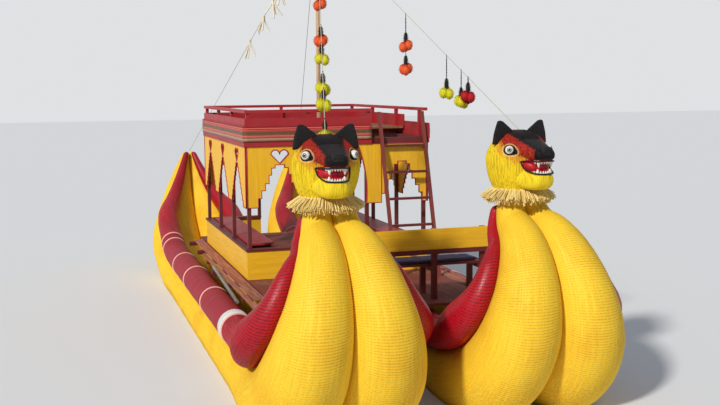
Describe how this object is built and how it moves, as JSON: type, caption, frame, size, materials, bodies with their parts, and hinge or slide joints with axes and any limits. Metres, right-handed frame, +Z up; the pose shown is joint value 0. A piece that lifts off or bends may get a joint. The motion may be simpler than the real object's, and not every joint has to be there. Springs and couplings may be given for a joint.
{
  "type": "reed boat",
  "caption": "Double-hulled boat of bound yellow reeds with animal-head bows, red rolls, a wooden cabin, an upper deck with low rails, a ladder, a mast and a bow bench.",
  "frame": {"origin": "under the middle of the boat, on the plane that the reed bundles stand on", "axes": "+X forward to the animal heads, +Y to port, +Z up"},
  "size_m": [10.9966, 4.2569, 5.9114],
  "materials": {
    "reed": "bound yellow totora reed",
    "red_reed": "bound reed painted red",
    "straw": "cut straw",
    "deck_wood": "weathered planks",
    "yellow_board": "yellow paint on boards",
    "red_timber": "dark red paint on timber",
    "bright_red": "red paint on boards",
    "textile": "woven stripes of coral, red and brown",
    "pole_wood": "grey weathered pole",
    "mast_wood": "light bare wood",
    "cord": "taut twisted line",
    "cushion": "dark blue cloth",
    "jaw_red": "painted reed board",
    "ear_dark": "black painted reed",
    "eye_white": "glossy white"
  },
  "bodies": {
    "boat": {"starboard_inner_bundle": "reed", "starboard_inner_roll": "red_reed", "starboard_outer_bundle": "reed", "starboard_outer_roll": "red_reed", "starboard_head": "reed", "starboard_collar": "straw", "port_inner_bundle": "reed", "port_inner_roll": "red_reed", "port_outer_bundle": "reed", "port_outer_roll": "red_reed", "port_head": "reed", "port_collar": "straw", "deck_bearers": "deck_wood", "deck_planks": "deck_wood", "side_planks": "red_timber", "boat_pole": "pole_wood", "starboard_skirt": "yellow_board", "port_skirt": "yellow_board", "front_skirt": "yellow_board", "rear_skirt": "yellow_board", "skirt_caps": "red_timber", "cabin_posts": "red_timber", "starboard_panel": "yellow_board", "port_panel": "yellow_board", "front_panel": "yellow_board", "rear_panels": "yellow_board", "door_panel": "yellow_board", "ladder_panel": "yellow_board", "top_plates": "red_timber", "joists": "red_timber", "upper_floor": "deck_wood", "front_fascia": "bright_red", "rear_fascia": "bright_red", "starboard_fascia": "bright_red", "port_fascia": "bright_red", "textile_bands": "textile", "kickboards": "bright_red", "rail_posts": "bright_red", "rail_caps": "bright_red", "ladder_stiles": "red_timber", "ladder_rungs": "red_timber", "mast": "mast_wood", "mast_step": "red_timber", "forestays": "cord", "backstays": "cord", "bench_frame": "red_timber", "backrest": "yellow_board", "backrest_rail": "red_timber", "bench_seat": "red_timber", "bench_cushion": "cushion", "cabin_seats": "bright_red", "cabin_seat_supports": "red_timber", "jaws": "jaw_red", "ears": "ear_dark", "eyes": "eye_white"}
  },
  "joints": []
}
